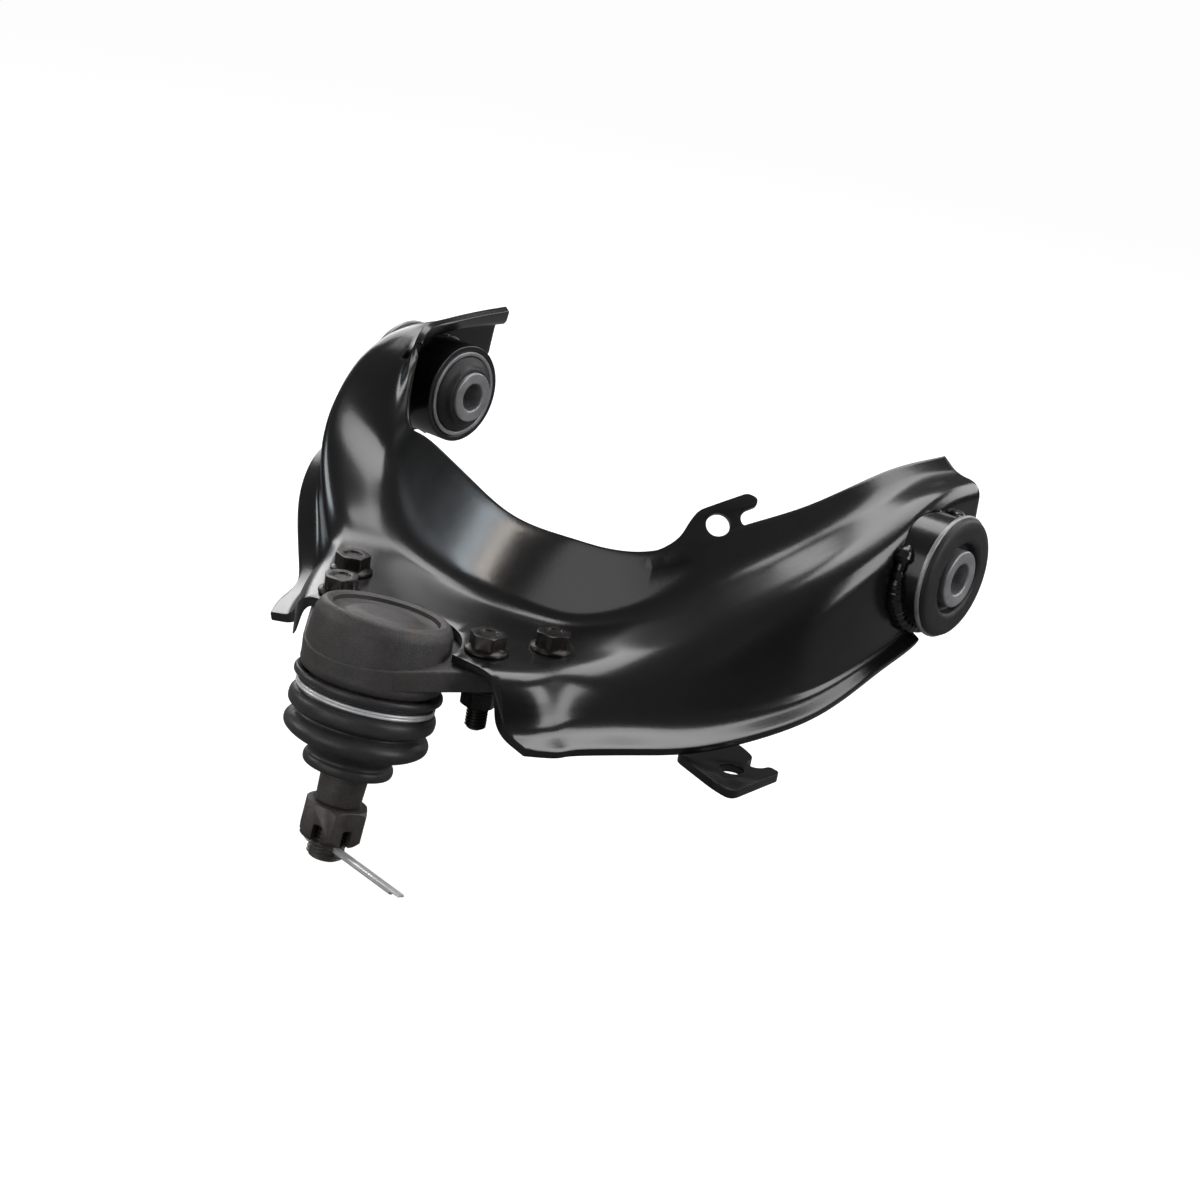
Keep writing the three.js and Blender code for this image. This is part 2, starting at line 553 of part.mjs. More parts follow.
// ---- flange bolts and nuts ----
function flangeBolt() {
  const head = plate(hexShape(BOLT_AF), 1.6, BOLT_HEAD);
  const chamfer = turned([[0, 0.4], [9, 0.4], [9, 5.8], [5.6, BOLT_HEAD + 0.2], [0, BOLT_HEAD + 0.2]], 18);
  const body = turned([
    [0, -BOLT_REACH], [BOLT_R - 0.8, -BOLT_REACH], [BOLT_R, -BOLT_REACH + 1], [BOLT_R, CLEARANCE],
    [BOLT_FLANGE_R, CLEARANCE], [BOLT_FLANGE_R, 1.1], [BOLT_AF / 2, 2.3], [0, 2.3],
  ], 18);
  return geometryOf(solidOf(head).intersect(solidOf(chamfer)).add(solidOf(body)));
}

function flangeNut() {
  const hex = plate(hexShape(BOLT_AF), -NUT8_HEIGHT, -1.6);
  const chamfer = turned([
    [0, -NUT8_HEIGHT - 0.2], [5.6, -NUT8_HEIGHT - 0.2], [9, -6.4], [9, -0.6], [0, -0.6],
  ], 18);
  const flange = turned([
    [0, -2.3], [BOLT_AF / 2, -2.3], [BOLT_FLANGE_R, -1.1], [BOLT_FLANGE_R, 0], [0, 0],
  ], 18);
  const bore = circleHole(BOLT_R + CLEARANCE, 20).scale(1, 1, 40);
  return geometryOf(solidOf(hex).intersect(solidOf(chamfer)).add(solidOf(flange)).subtract(solidOf(bore)));
}

bolts.forEach((place, index) => {
  const turn = THREE.MathUtils.degToRad(17 + 23 * index);
  const bolt = addMesh(arm, `flange_bolt_${index + 1}`, flangeBolt(), darkBolt);
  bolt.position.set(place.x, place.y, PLATE_Z);
  bolt.rotation.z = turn;
  const nut = addMesh(arm, `flange_nut_${index + 1}`, flangeNut(), darkBolt);
  nut.position.set(place.x, place.y, flangeLow - CLEARANCE);
  nut.rotation.z = turn + 0.4;
});

export default arm;
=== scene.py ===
import math
import bpy
import bmesh
import numpy as np
from mathutils import Matrix, Vector


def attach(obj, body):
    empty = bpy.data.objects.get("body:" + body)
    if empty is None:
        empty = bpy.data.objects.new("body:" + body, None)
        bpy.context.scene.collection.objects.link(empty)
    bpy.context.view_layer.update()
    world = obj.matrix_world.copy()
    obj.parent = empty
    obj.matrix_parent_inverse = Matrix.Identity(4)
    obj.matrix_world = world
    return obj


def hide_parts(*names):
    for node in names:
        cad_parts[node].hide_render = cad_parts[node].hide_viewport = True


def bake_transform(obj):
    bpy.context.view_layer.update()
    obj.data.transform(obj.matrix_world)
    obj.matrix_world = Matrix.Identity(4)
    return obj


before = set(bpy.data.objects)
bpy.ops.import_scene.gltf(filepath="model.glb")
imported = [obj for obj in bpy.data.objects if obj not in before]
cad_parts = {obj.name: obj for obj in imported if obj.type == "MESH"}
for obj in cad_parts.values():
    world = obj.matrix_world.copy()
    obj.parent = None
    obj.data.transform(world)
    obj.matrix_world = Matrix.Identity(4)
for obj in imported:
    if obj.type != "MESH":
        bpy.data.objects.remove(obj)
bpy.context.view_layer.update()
mm = 0.001
# puts an outline's two directions along Y and Z, and its depth along X
drawnInYZ = Matrix(((0, 0, 1, 0), (1, 0, 0, 0), (0, 1, 0, 0), (0, 0, 0, 1)))


# ---- shared helpers: meshes are given in millimetres and finished at the origin ----
def makeMesh(name, points, faces, edges=()):
    mesh = bpy.data.meshes.new(name)
    mesh.from_pydata([tuple(float(c) * mm for c in p) for p in points], list(edges), list(faces))
    mesh.update()
    piece = bpy.data.objects.new(name, mesh)
    bpy.context.scene.collection.objects.link(piece)
    return piece


def activate(piece):
    bpy.ops.object.select_all(action="DESELECT")
    bpy.context.view_layer.objects.active = piece
    piece.select_set(True)


def modify(piece, kind, **settings):
    activate(piece)
    modifier = piece.modifiers.new(kind.lower(), kind)
    for key, value in settings.items():
        setattr(modifier, key, value)
    bpy.ops.object.modifier_apply(modifier=modifier.name)
    return piece


def combine(piece, tool, operation):
    modify(piece, "BOOLEAN", object=tool, operation=operation, solver="EXACT")
    bpy.data.objects.remove(tool)
    return piece


def clean(piece, merge=0.004):
    activate(piece)
    bpy.ops.object.mode_set(mode="EDIT")
    bpy.ops.mesh.select_all(action="SELECT")
    bpy.ops.mesh.remove_doubles(threshold=merge * mm)
    bpy.ops.mesh.normals_make_consistent(inside=False)
    bpy.ops.object.mode_set(mode="OBJECT")
    return piece


def smooth(piece, angle=35):
    activate(piece)
    bpy.ops.object.shade_smooth_by_angle(angle=math.radians(angle))
    return piece


def bevel(piece, width, segments=2, angle=40):
    modify(piece, "BEVEL", width=width * mm, segments=segments, limit_method="ANGLE",
           angle_limit=math.radians(angle), use_clamp_overlap=True)
    return piece


def place(piece, matrix):
    piece.data.transform(matrix)
    piece.data.update()
    return piece


def shift(x, y, z):
    return Matrix.Translation(Vector((x, y, z)) * mm)


def rounded(profile, radius, steps=4, closed=True):
    # Rounds every corner of an outline; a corner may carry its own radius as a third number.
    out = []
    count = len(profile)
    for i, corner in enumerate(profile):
        at = np.array(corner[:2], float)
        reach = corner[2] if len(corner) > 2 else radius
        if not closed and i in (0, count - 1):
            out.append(tuple(at))
            continue
        before = np.array(profile[i - 1][:2], float) - at
        after = np.array(profile[(i + 1) % count][:2], float) - at
        lengths = np.linalg.norm(before), np.linalg.norm(after)
        reach = min(reach, 0.45 * lengths[0], 0.45 * lengths[1])
        if reach < 0.02:
            out.append(tuple(at))
            continue
        start, end = at + before / lengths[0] * reach, at + after / lengths[1] * reach
        for k in range(steps + 1):
            t = k / steps
            out.append(tuple((1 - t) ** 2 * start + 2 * t * (1 - t) * at + t * t * end))
    return out


def ringFaces(rows, sides):
    # Quads between each ring of points and the next.
    return [(r * sides + k, r * sides + (k + 1) % sides, (r + 1) * sides + (k + 1) % sides, (r + 1) * sides + k)
            for r in range(rows) for k in range(sides)]


def lathe(name, profile, matrix, steps=96, closed=True, angle=35):
    count = len(profile)
    edges = [(i, i + 1) for i in range(count - 1)] + ([(count - 1, 0)] if closed else [])
    piece = makeMesh(name, [(r, 0, z) for r, z in profile], (), edges)
    modify(piece, "SCREW", axis="Z", angle=2 * math.pi, steps=steps, render_steps=steps,
           use_merge_vertices=True, merge_threshold=0.001 * mm)
    clean(piece)
    place(piece, matrix)
    return smooth(piece, angle)


def prism(name, outline, low, high, matrix=Matrix.Identity(4)):
    count = len(outline)
    points = [(x, y, low) for x, y in outline] + [(x, y, high) for x, y in outline]
    faces = [tuple(range(count))[::-1], tuple(range(count, 2 * count))]
    faces += [(i, (i + 1) % count, (i + 1) % count + count, i + count) for i in range(count)]
    piece = clean(makeMesh(name, points, faces))
    return place(piece, matrix)


def circle(x, y, radius, start=0.0, end=360.0, steps=48):
    full = abs(end - start) >= 360
    return [(x + radius * math.cos(math.radians(a)), y + radius * math.sin(math.radians(a)))
            for a in np.linspace(start, end, steps, endpoint=not full)]


def drill(name, radius, low, high, matrix, steps=64):
    return prism(name, circle(0, 0, radius, steps=steps), low, high, matrix)


def threaded(name, radius, pitch, depth, low, high, matrix, steps=56):
    # A rod with a helical thread that fades out at both ends.
    rows = int((high - low) / pitch * 9)
    zs = np.linspace(low, high, rows + 1)
    angles = np.arange(steps) * 2 * math.pi / steps
    points = []
    for z in zs:
        fade = min(1, (z - low) / (0.9 * pitch) + 0.05, (high - z) / (0.5 * pitch) + 0.3)
        phase = (z / pitch - angles / (2 * math.pi)) % 1
        ramp = np.clip(np.abs(phase * 2 - 1) * 1.5 - 0.25, 0, 1)
        chamfer = max(0, 0.9 - (z - low) * 0.9)
        r = radius - depth * (1 - fade * ramp) - chamfer
        points += [(a * math.cos(b), a * math.sin(b), z) for a, b in zip(r, angles)]
    faces = ringFaces(rows, steps)
    faces += [tuple(range(steps))[::-1], tuple(range(rows * steps, (rows + 1) * steps))]
    return smooth(place(makeMesh(name, points, faces), matrix), 50)


def sweep(name, path, radius, sides=16, matrix=Matrix.Identity(4)):
    # A round bar along a list of points.
    path = np.array(path, float)
    count = len(path)
    tangents = np.gradient(path, axis=0)
    tangents /= np.linalg.norm(tangents, axis=1)[:, None]
    up = np.array([0, 0, 1.0]) if abs(tangents[0][2]) < 0.9 else np.array([1.0, 0, 0])
    points = []
    for p, t in zip(path, tangents):
        side = np.cross(t, up)
        side /= np.linalg.norm(side)
        up = np.cross(side, t)
        for k in range(sides):
            a = 2 * math.pi * k / sides
            points.append(p + radius * (math.cos(a) * side + math.sin(a) * up))
    faces = ringFaces(count - 1, sides)
    faces += [tuple(range(sides))[::-1], tuple(range((count - 1) * sides, count * sides))]
    return smooth(place(clean(makeMesh(name, points, faces)), matrix), 50)


# ---- materials ----
def newMaterial(name):
    material = bpy.data.materials.new(name)
    material.use_nodes = True
    nodes = material.node_tree.nodes
    nodes.clear()
    output = nodes.new("ShaderNodeOutputMaterial")
    shader = nodes.new("ShaderNodeBsdfPrincipled")
    material.node_tree.links.new(shader.outputs[0], output.inputs[0])
    return material, nodes, material.node_tree.links, shader


def noiseNode(nodes, links, source, scale, detail=6.0, roughness=0.6):
    node = nodes.new("ShaderNodeTexNoise")
    node.inputs["Scale"].default_value = scale
    node.inputs["Detail"].default_value = detail
    node.inputs["Roughness"].default_value = roughness
    links.new(source, node.inputs["Vector"])
    return node


def rampNode(nodes, links, factor, stops):
    node = nodes.new("ShaderNodeValToRGB")
    ramp = node.color_ramp
    while len(ramp.elements) < len(stops):
        ramp.elements.new(0.5)
    for element, (position, value) in zip(ramp.elements, stops):
        element.position = position
        element.color = (*value, 1) if len(value) == 3 else (value[0],) * 3 + (1,)
    links.new(factor, node.inputs[0])
    return node


def mixNode(nodes, links, kind, factor, a, b):
    node = nodes.new("ShaderNodeMixRGB")
    node.blend_type = kind
    for socket, value in zip(node.inputs, (factor, a, b)):
        if isinstance(value, (int, float)):
            socket.default_value = value
        elif isinstance(value, tuple):
            socket.default_value = (*value, 1)
        else:
            links.new(value, socket)
    return node


def surface(name, dark, light, rough, metallic, scale=60.0, bump=0.05, bumpScale=900.0, coat=0.0,
            speck=None, speckScale=2500.0, grain=None, specular=0.5, extra=None):
    # Mottled base colour, mottled roughness and a fine bump, all from object coordinates.
    material, nodes, links, shader = newMaterial(name)
    coords = nodes.new("ShaderNodeTexCoord").outputs["Object"]
    broad = noiseNode(nodes, links, coords, scale)
    color = rampNode(nodes, links, broad.outputs[0], [(0.32, dark), (0.68, light)]).outputs[0]
    fine = noiseNode(nodes, links, coords, scale * 9, 8.0, 0.7)
    color = mixNode(nodes, links, "OVERLAY", 0.35, color, fine.outputs[0]).outputs[0]
    if speck:
        dots = noiseNode(nodes, links, coords, speckScale, 2.0, 0.5)
        mask = rampNode(nodes, links, dots.outputs[0], [(0.66, (0,)), (0.74, (1,))]).outputs[0]
        color = mixNode(nodes, links, "MIX", mask, color, speck).outputs[0]
    height = noiseNode(nodes, links, coords, bumpScale, 3.0, 0.55).outputs[0]
    if grain:
        # fine turned lines along an axis
        stretch = nodes.new("ShaderNodeMapping")
        stretch.inputs["Scale"].default_value = grain
        links.new(coords, stretch.inputs[0])
        lines = noiseNode(nodes, links, stretch.outputs[0], 1.0, 4.0, 0.7)
        height = mixNode(nodes, links, "MIX", 0.6, height, lines.outputs[0]).outputs[0]
        color = mixNode(nodes, links, "OVERLAY", 0.4, color, lines.outputs[0]).outputs[0]
    if extra:
        color = extra(nodes, links, coords, color)
    links.new(color, shader.inputs["Base Color"])
    span = nodes.new("ShaderNodeMapRange")
    span.inputs["From Min"].default_value = 0.3
    span.inputs["From Max"].default_value = 0.7
    span.inputs["To Min"].default_value = rough[0]
    span.inputs["To Max"].default_value = rough[1]
    links.new(noiseNode(nodes, links, coords, scale * 2.3, 7.0, 0.65).outputs[0], span.inputs[0])
    links.new(span.outputs[0], shader.inputs["Roughness"])
    shader.inputs["Metallic"].default_value = metallic
    shader.inputs["Coat Weight"].default_value = coat
    shader.inputs["Coat Roughness"].default_value = 0.16
    shader.inputs["Specular IOR Level"].default_value = specular
    relief = nodes.new("ShaderNodeBump")
    relief.inputs["Strength"].default_value = bump
    relief.inputs["Distance"].default_value = 0.0004
    links.new(height, relief.inputs["Height"])
    links.new(relief.outputs[0], shader.inputs["Normal"])
    return material


def rustSpot(nodes, links, coords, color):
    # one small patch of rust on the rolled rim, and a faint brown bloom elsewhere
    spot = nodes.new("ShaderNodeVectorMath")
    spot.operation = "DISTANCE"
    spot.inputs[1].default_value = (0.0072, -0.1692, -0.0325)
    links.new(coords, spot.inputs[0])
    wobble = noiseNode(nodes, links, coords, 700.0, 5.0, 0.7)
    reach = nodes.new("ShaderNodeMath")
    reach.operation = "MULTIPLY_ADD"
    reach.inputs[1].default_value = 0.002
    links.new(wobble.outputs[0], reach.inputs[0])
    links.new(spot.outputs["Value"], reach.inputs[2])
    mask = rampNode(nodes, links, reach.outputs[0], [(0.0016, (1,)), (0.0023, (0,))]).outputs[0]
    bloom = rampNode(nodes, links, noiseNode(nodes, links, coords, 38.0).outputs[0],
                     [(0.5, (0,)), (0.75, (0.35,))]).outputs[0]
    color = mixNode(nodes, links, "MIX", bloom, color, (0.075, 0.055, 0.045)).outputs[0]
    return mixNode(nodes, links, "MIX", mask, color, (0.1, 0.056, 0.034)).outputs[0]


materials = {
    "arm_paint": surface("armPaint", (0.0045, 0.0045, 0.005), (0.008, 0.008, 0.009), (0.2, 0.27), 0.0, 22.0,
                         0.08, 620.0, 0.3, speck=(0.02, 0.02, 0.021), specular=0.5),
    "housing_phosphate": surface("housingPhosphate", (0.055, 0.052, 0.052), (0.086, 0.081, 0.08), (0.46, 0.6),
                                 0.2, 90.0, 0.45, 1500.0, speck=(0.11, 0.1, 0.095), extra=rustSpot),
    "sleeve_steel": surface("sleeveSteel", (0.27, 0.27, 0.28), (0.4, 0.4, 0.41), (0.34, 0.48), 0.55, 120.0,
                            0.2, 1600.0, grain=(2500.0, 60.0, 60.0)),
    "stud_steel": surface("studSteel", (0.075, 0.07, 0.064), (0.14, 0.132, 0.12), (0.32, 0.46), 0.5, 130.0, 0.2,
                          1500.0, grain=(60.0, 60.0, 2600.0)),
    "nut_dark": surface("nutDark", (0.07, 0.062, 0.06), (0.12, 0.107, 0.103), (0.34, 0.48), 0.4, 150.0,
                        0.3, 1700.0, speck=(0.14, 0.12, 0.1)),
    "bolt_dark": surface("boltDark", (0.014, 0.012, 0.011), (0.035, 0.03, 0.027), (0.26, 0.4), 0.75, 150.0, 0.22,
                         1400.0, coat=0.15, speck=(0.09, 0.075, 0.06)),
    "zinc": surface("zincPlate", (0.78, 0.79, 0.81), (0.92, 0.93, 0.94), (0.28, 0.4), 0.3, 200.0, 0.12, 1800.0),
    "bush_rubber": surface("bushRubber", (0.008, 0.008, 0.0085), (0.017, 0.017, 0.018), (0.42, 0.6), 0.0, 110.0,
                           0.3, 1300.0, speck=(0.05, 0.05, 0.05)),
    "boot_rubber": surface("bootRubber", (0.03, 0.029, 0.031), (0.046, 0.044, 0.047), (0.36, 0.5), 0.0, 90.0,
                           0.16, 1100.0, speck=(0.06, 0.06, 0.06)),
    "liner_plastic": surface("linerPlastic", (0.6, 0.58, 0.5), (0.72, 0.7, 0.62), (0.4, 0.55), 0.0, 90.0, 0.1),
}
print("materials made")


def finishPiece(piece, slotName, *nodes, body="arm"):
    piece.data.materials.clear()
    piece.data.materials.append(materials[slotName])
    if nodes:
        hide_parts(*nodes)
    if body:
        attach(piece, body)
    return piece


# ---- pressed arm ----
armShape = {
    "sheet": 3.2,
    "rowsPerStation": 14,
    "smoothing": 4.0,  # rows, evens out the stations
    "tubeHole": 22.0,
    "tubes": ((-147.25, 1), (101.25, 1)),
    "boltHole": 4.3,
}
# inner-flange top, inner bend, outer bend, foot, lip edge
stations = [
    [(-134, 26, 36), (-140, 32, 28), (-151, 38, 27), (-153, 38, 10), (-157, 38, 8)],
    [(-134, 8, 35), (-139, 10, 28), (-151, 10, 27), (-153, 10, -12), (-159, 10, -14)],
    [(-133, -14, 33), (-138, -14, 26), (-153, -14, 27), (-154, -14, -22), (-161, -14, -24)],
    [(-128, -36, 30), (-131, -36, 18), (-153, -38, 22), (-151, -40, -22), (-156, -44, -24)],
    [(-118, -47, -4), (-121, -55, -13), (-149, -58, 6), (-142, -62, -22), (-149, -66, -24)],
    [(-100, -55, -4), (-104, -68, -24), (-136, -77, -11), (-128.5, -82, -33), (-135.5, -88, -36)],
    [(-80, -64, -5), (-84, -80, -34), (-113, -92, -32), (-110, -96, -51), (-117.5, -102, -54)],
    [(-58, -73, -7), (-60, -90, -39), (-94, -107, -39.5), (-94, -112, -57), (-101, -117, -60)],
    [(-34, -81, -10), (-36, -97, -40), (-70, -143, -40), (-74, -144, -58), (-86, -146, -61)],
    [(-14, -84, -11), (-16, -99, -40), (-14, -195, -40), (-14, -199, -58), (-14, -208, -61)],
    [(6, -83, -10), (4, -96, -39.6), (40, -152, -40), (44, -152, -58), (56, -153, -61)],
    [(20, -79, -10), (20, -91, -38), (45, -128, -40.3), (52, -133, -57.5), (62, -141, -61)],
    [(33, -72, -8), (36, -82, -30.5), (56, -106, -39.2), (66, -116, -56), (75, -126, -59)],
    [(44, -60, -2), (50, -70, -20), (72, -88, -30), (82, -98, -53), (91, -106, -57)],
    [(56, -44, 6), (62, -55, -9), (87, -71, -15), (95, -77, -48), (104, -82, -51)],
    [(68, -27, 14), (75, -35, 2), (100, -52, 0), (104, -55, -41), (112, -57, -44)],
    [(77, -11, 23), (85, -14, 17), (107, -22, 14), (108, -24, -30), (114, -25, -33)],
    [(83, 8, 30), (92, 8, 25), (107, 4, 27), (108, 4, -22), (114, 4, -25)],
    [(90, 31, 34), (97, 32, 28), (107, 32, 27), (108, 32, 4), (113, 32, 2)],
]
innerReach = [5, 5, 6, 8, 10, 12, 12, 11, 10, 9, 8, 7, 6.5, 6.5, 6.5, 6.5, 6.5, 6, 5]
outerReach = [5, 8, 10, 10, 10, 9, 8, 8, 8, 8, 8, 8, 9, 10, 11, 11, 9, 8, 5]
footReach = [3, 4, 5, 6, 6, 6, 6, 6, 6, 6, 6, 6, 6, 6, 6, 6, 5, 4, 3]


def throughPoints(values, t):
    head, tail = 2 * values[0] - values[1], 2 * values[-1] - values[-2]
    padded = np.concatenate([head[None], values, tail[None]])
    i = min(int(t), len(values) - 2)
    f = t - i
    a, b, c, d = padded[i:i + 4]
    return 0.5 * (2 * b + (c - a) * f + (2 * a - 5 * b + 4 * c - d) * f ** 2 + (3 * b - a - 3 * c + d) * f ** 3)


def evened(grid, sigma):
    # Gaussian smoothing along the rows, with both ends kept where they are.
    reach = int(3 * sigma)
    weights = np.exp(-0.5 * (np.arange(-reach, reach + 1) / sigma) ** 2)
    weights /= weights.sum()
    head = 2 * grid[0] - grid[reach:0:-1]
    tail = 2 * grid[-1] - grid[-2:-reach - 2:-1]
    long = np.concatenate([head, grid, tail])
    return sum(w * long[k:k + len(grid)] for k, w in enumerate(weights))


def buildPressing():
    stationArray = np.array(stations, float)
    stationArray[..., 2] -= armShape["sheet"] / 2 * np.clip(-stationArray[..., 2] / 40, 0, 1)
    count = (len(stations) - 1) * armShape["rowsPerStation"] + 1
    params = np.linspace(0, len(stations) - 1, count)
    corners = np.array([throughPoints(stationArray, t) for t in params])
    corners = evened(corners, armShape["smoothing"])
    reaches = np.array([innerReach, outerReach, footReach], float).T
    rows = []
    for t, row in zip(params, corners):
        reach = throughPoints(reaches, t)
        line = [row[0] + (row[1] - row[0]) * k * 0.14 for k in range(3)]
        for bend in (1, 2, 3):
            at, before, after = row[bend], row[bend - 1] - row[bend], row[bend + 1] - row[bend]
            near, far = np.linalg.norm(before), np.linalg.norm(after)
            r = min(reach[bend - 1], 0.46 * near, 0.46 * far)
            start, end = at + before / near * r, at + after / far * r
            if bend > 1:
                last = line[-1]
                line += [last + (start - last) * k / 7 for k in range(1, 7)]
            for k in range(9):
                f = k / 8
                line.append((1 - f) ** 2 * start + 2 * f * (1 - f) * at + f * f * end)
        line += [line[-1] + (row[4] - line[-1]) * k / 3 for k in range(1, 4)]
        rows.append(line)
    grid = np.array(rows)
    across = np.gradient(grid, axis=1)
    along = np.gradient(grid, axis=0)
    out = np.cross(across, along)
    out /= np.linalg.norm(out, axis=2)[..., None]
    step = across / np.linalg.norm(across, axis=2)[..., None]
    half = armShape["sheet"] / 2
    rounding = [(0.75, 1.0), (0.22, 0.9), (0.0, 0.62)]  # along and through the sheet, at a free edge
    ring = [grid[:, 0] + step[:, 0] * a + out[:, 0] * half * b for a, b in reversed(rounding)]
    ring += [grid[:, k] + out[:, k] * half for k in range(1, grid.shape[1] - 1)]
    ring += [grid[:, -1] - step[:, -1] * a + out[:, -1] * half * b for a, b in rounding]
    ring += [grid[:, -1] - step[:, -1] * a - out[:, -1] * half * b for a, b in reversed(rounding)]
    ring += [grid[:, k] - out[:, k] * half for k in range(grid.shape[1] - 2, 0, -1)]
    ring += [grid[:, 0] + step[:, 0] * a - out[:, 0] * half * b for a, b in rounding]
    ring = np.array(ring).transpose(1, 0, 2)
    sides = ring.shape[1]
    faces = ringFaces(count - 1, sides)
    half = sides // 2
    for row in (0, count - 1):
        base = row * sides
        faces += [(base + k, base + k + 1, base + sides - 2 - k, base + sides - 1 - k) for k in range(half - 1)]
    return clean(makeMesh("armPressing", ring.reshape(-1, 3), faces))


pressing = buildPressing()
print("pressing lofted", len(pressing.data.polygons))

ballX, ballY, ballZ = -13.0, -160.0, -32.0
plateZ = -40.0
tilt = math.radians(10)
ballFrame = shift(ballX, ballY, ballZ) @ Matrix.Rotation(-tilt, 4, "X")


def axisY(z):
    return ballY + (z - ballZ) * math.tan(tilt)


boltYaw = math.radians(6)
boltPlaces = [(ballX + x * math.cos(boltYaw) - y * math.sin(boltYaw),
               axisY(plateZ) + x * math.sin(boltYaw) + y * math.cos(boltYaw))
              for x, y in ((-34, 17), (-47, 39.5), (47, 39.5), (34, 17))]

# clip tab on the rear leg's flange
tabShape = {"root": (44, -60, -2), "along": (0.557, 0.743, 0.371), "up": (-0.647, 0.108, 0.755),
            "holeRadius": 4.6}
tabOutline = [(-19, -7)] + rounded([
    (-19, -0.9), (-12, -0.1, 6), (-5, 2.4, 6), (0.5, 7.4, 5), (5, 10.4, 4), (12, 10.8, 4), (24.9, 11.4, 2.6),
    (27.8, 8.4, 2.4), (26.6, 5.8, 1.6), (21.2, 5.4, 2.6), (19, 3.2, 2.6), (18.8, 0.6, 2.4), (20.8, -1.3, 2.2),
    (24.6, -0.9, 2), (27.2, -4.6, 3), (33, -5.8, 2), (40, -6.6)], 2, 6, closed=False) + [(40, -9)]
alongTab, upTab = Vector(tabShape["along"]), Vector(tabShape["up"])
tabMatrix = Matrix((alongTab, upTab, alongTab.cross(upTab))).transposed().to_4x4()
tabMatrix = shift(*tabShape["root"]) @ tabMatrix
tab = prism("tab", tabOutline, -1.56, 1.56)
tabMesh = bmesh.new()
tabMesh.from_mesh(tab.data)
for u in range(-18, 0, 2):
    bmesh.ops.bisect_plane(tabMesh, geom=tabMesh.verts[:] + tabMesh.edges[:] + tabMesh.faces[:],
                           plane_co=(u * mm, 0, 0), plane_no=(1, 0, 0))
for vertex in tabMesh.verts:
    bent = (min(vertex.co.x, 0) / mm) ** 2 * mm  # follows the flange where it curves away
    vertex.co += Vector((0, 0.0045 * bent, -0.005 * bent))
tabMesh.to_mesh(tab.data)
tabMesh.free()
place(tab, tabMatrix)
combine(pressing, tab, "UNION")
combine(pressing, drill("tabHole", tabShape["holeRadius"], -12, 12, tabMatrix @ shift(10.2, 3, 0)), "DIFFERENCE")

edgeY = axisY(plateZ)
notch = 28.8
frontCut = [(150, edgeY + 7)]
frontCut += circle(ballX, edgeY, notch, math.degrees(math.asin(7 / notch)),
                   180 - math.degrees(math.asin(2 / notch)))
frontCut += rounded([(ballX - 30, edgeY + 2), (ballX - 47, edgeY + 2, 5), (ballX - 57, edgeY + 15.5, 5),
                     (ballX - 150, edgeY + 15.5)], 3, closed=False)
frontCut += [(ballX - 150, edgeY - 120), (150, edgeY - 120)]
combine(pressing, prism("frontCut", frontCut, -130, 60), "DIFFERENCE")
for x, y in boltPlaces:
    combine(pressing, drill("boltHole", armShape["boltHole"], -60, -20, shift(x, y, 0)), "DIFFERENCE")
turnX = Matrix.Rotation(math.pi / 2, 4, "Y")
for x, side in armShape["tubes"]:
    combine(pressing, drill("tubeHole", armShape["tubeHole"], -35, 35, shift(x, 0, 0) @ turnX, 96), "DIFFERENCE")
    arch = rounded([(-3, 8), (-3, -80), (67, -80), (67, 8)], 6)
    combine(pressing, prism("arch", arch, -30, 30, shift(x, 0, 0) @ drawnInYZ), "DIFFERENCE")
slotCut = rounded([(-37.8, 13.5), (-34.2, 13.5), (-34.2, 26.5), (-37.8, 26.5)], 1.8)
combine(pressing, prism("earSlot", slotCut, -135, -123, drawnInYZ), "DIFFERENCE")
clean(pressing, 0.02)
bevel(pressing, 0.45, 2, 55)
smooth(pressing, 40)
finishPiece(pressing, "arm_paint", "arm_pressing")
print("pressing trimmed", len(pressing.data.polygons))

# ---- hose bracket ----
bracketShape = {"top": -61.45, "sheet": 3.2, "hole": (103.7, -100.3, 4.5)}
bracketOutline = rounded([
    (82, -100.5, 3), (84.4, -107.1, 4), (106, -114.8, 4), (115.6, -116.5, 6.5), (115.6, -86.7, 3),
    (110.2, -85.9, 2.6), (109.6, -90.1, 2), (106.6, -92.5, 2.6), (103.2, -90.3, 2), (102.4, -84.7, 3),
    (96.3, -81.3, 4), (91, -79.5, 3)], 3, 6)
bracket = prism("hoseBracket", bracketOutline, bracketShape["top"] - 3.2, bracketShape["top"])
holeX, holeY, holeR = bracketShape["hole"]
combine(bracket, drill("bracketHole", holeR, -80, -50, shift(holeX, holeY, 0)), "DIFFERENCE")
bevel(bracket, 0.5, 3)
smooth(bracket, 40)
finishPiece(bracket, "arm_paint", "hose_bracket")
print("bracket made")


# ---- pivot bushes ----
bushShape = {"length": 46.0, "tubeR": 21.7, "tubeBore": 19.3, "sleeveR": 19.0, "sleeveBore": 17.2,
             "flangeR": 23.9, "innerR": 11.0, "boreR": 6.1, "setback": 6.2, "flangeFace": -3.25}


